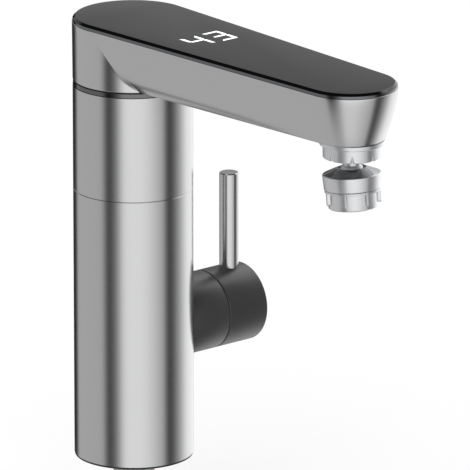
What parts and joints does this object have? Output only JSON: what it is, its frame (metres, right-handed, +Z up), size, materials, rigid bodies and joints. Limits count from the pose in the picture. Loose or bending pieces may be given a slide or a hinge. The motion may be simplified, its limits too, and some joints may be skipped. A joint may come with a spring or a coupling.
{
  "type": "electric instant water heater tap",
  "caption": "Deck-mounted tap with a round heater column, swivel spout under a flat display panel, side lever knob and a swivelling aerator nozzle.",
  "frame": {"origin": "centre of the column's foot, on the top face of the deck", "axes": "+Z up along the column; the spout points to -Y, towards the user; the knob and lever stand out to +X"},
  "size_m": [0.1018, 0.2166, 0.2874],
  "materials": {
    "satin_steel": "satin brushed stainless steel",
    "dark_ring": "dark grey moulded trim",
    "black_paint": "black powder-painted zinc",
    "panel_glass": "black glass-like panel, polished, opaque",
    "lit_figures": "lit white display strokes",
    "chrome": "polished chrome plate",
    "inner_steel": "plain rolled stainless steel",
    "fasteners": "zinc-plated steel",
    "brass": "machined brass",
    "element_sheath": "copper-sheathed heating rods",
    "rubber": "black nitrile rubber",
    "dark_plastic": "dark moulded plastic",
    "pale_plastic": "off-white moulded plastic",
    "circuit_board": "glass-epoxy circuit board"
  },
  "bodies": {
    "root": {"base_gasket": "rubber", "base_plate": "dark_plastic", "inlet_shank": "pale_plastic", "inlet_filter": "inner_steel", "inlet_seal": "rubber", "horseshoe_gasket": "rubber", "horseshoe_washer": "inner_steel", "shank_nut": "brass", "cable_bush": "rubber", "base_screws": "fasteners", "lower_shell": "satin_steel", "upper_shell": "satin_steel", "joint_ring": "dark_plastic", "chassis": "dark_plastic", "valve_body": "brass", "valve_cartridge": "pale_plastic", "cartridge_nut": "brass", "flow_switch": "dark_plastic", "knob_collar": "black_paint", "heater_tank": "inner_steel", "tank_seal": "rubber", "tank_lid": "inner_steel", "lid_screws": "fasteners", "heating_element": "element_sheath", "thermal_cutout": "dark_plastic", "control_board": "circuit_board", "power_switch": "dark_plastic", "swivel_hub": "brass", "hub_screws": "fasteners", "hub_seals": "rubber", "hub_clip": "fasteners", "swivel_ring": "dark_ring"},
    "handle": {"knob_cap": "black_paint", "valve_stem": "brass", "lever_rod": "satin_steel", "knob_screw": "fasteners"},
    "spout": {"spout_shell": "satin_steel", "swivel_sleeve": "brass", "sleeve_screws": "fasteners", "stop_pin": "fasteners", "spout_tube": "pale_plastic", "outlet_fitting": "brass", "temperature_probe": "fasteners", "panel_bezel": "dark_ring", "top_panel": "panel_glass", "display_module": "pale_plastic", "display_board": "circuit_board", "display_figures": "lit_figures", "outlet_flange": "chrome", "aerator_collar": "chrome", "collar_washer": "rubber", "ball_stem": "chrome"},
    "liner": {"ball_liner": "pale_plastic"},
    "nozzle": {"swivel_cap": "chrome", "flow_core": "dark_plastic", "core_seal": "rubber", "spray_sleeve": "chrome", "flow_insert": "pale_plastic"}
  },
  "joints": [
    {"name": "spout_swivel", "type": "hinge", "parent": "root", "child": "spout", "pos_m": [0, 0, 0.205], "axis": [0, 0, 1], "range_deg": [-110, 110]},
    {"name": "knob_turn", "type": "hinge", "parent": "root", "child": "handle", "pos_m": [0.05, 0, 0.0656], "axis": [1, 0, 0], "range_deg": [-90, 90]},
    {"name": "nozzle_turn", "type": "hinge", "parent": "spout", "child": "liner", "pos_m": [0, -0.16457, 0.181], "axis": [0, 0, 1], "continuous": true},
    {"name": "nozzle_tilt", "type": "hinge", "parent": "liner", "child": "nozzle", "pos_m": [0, -0.16457, 0.181], "axis": [-1, 0, 0], "range_deg": [-20.3, 9.7]}
  ]
}
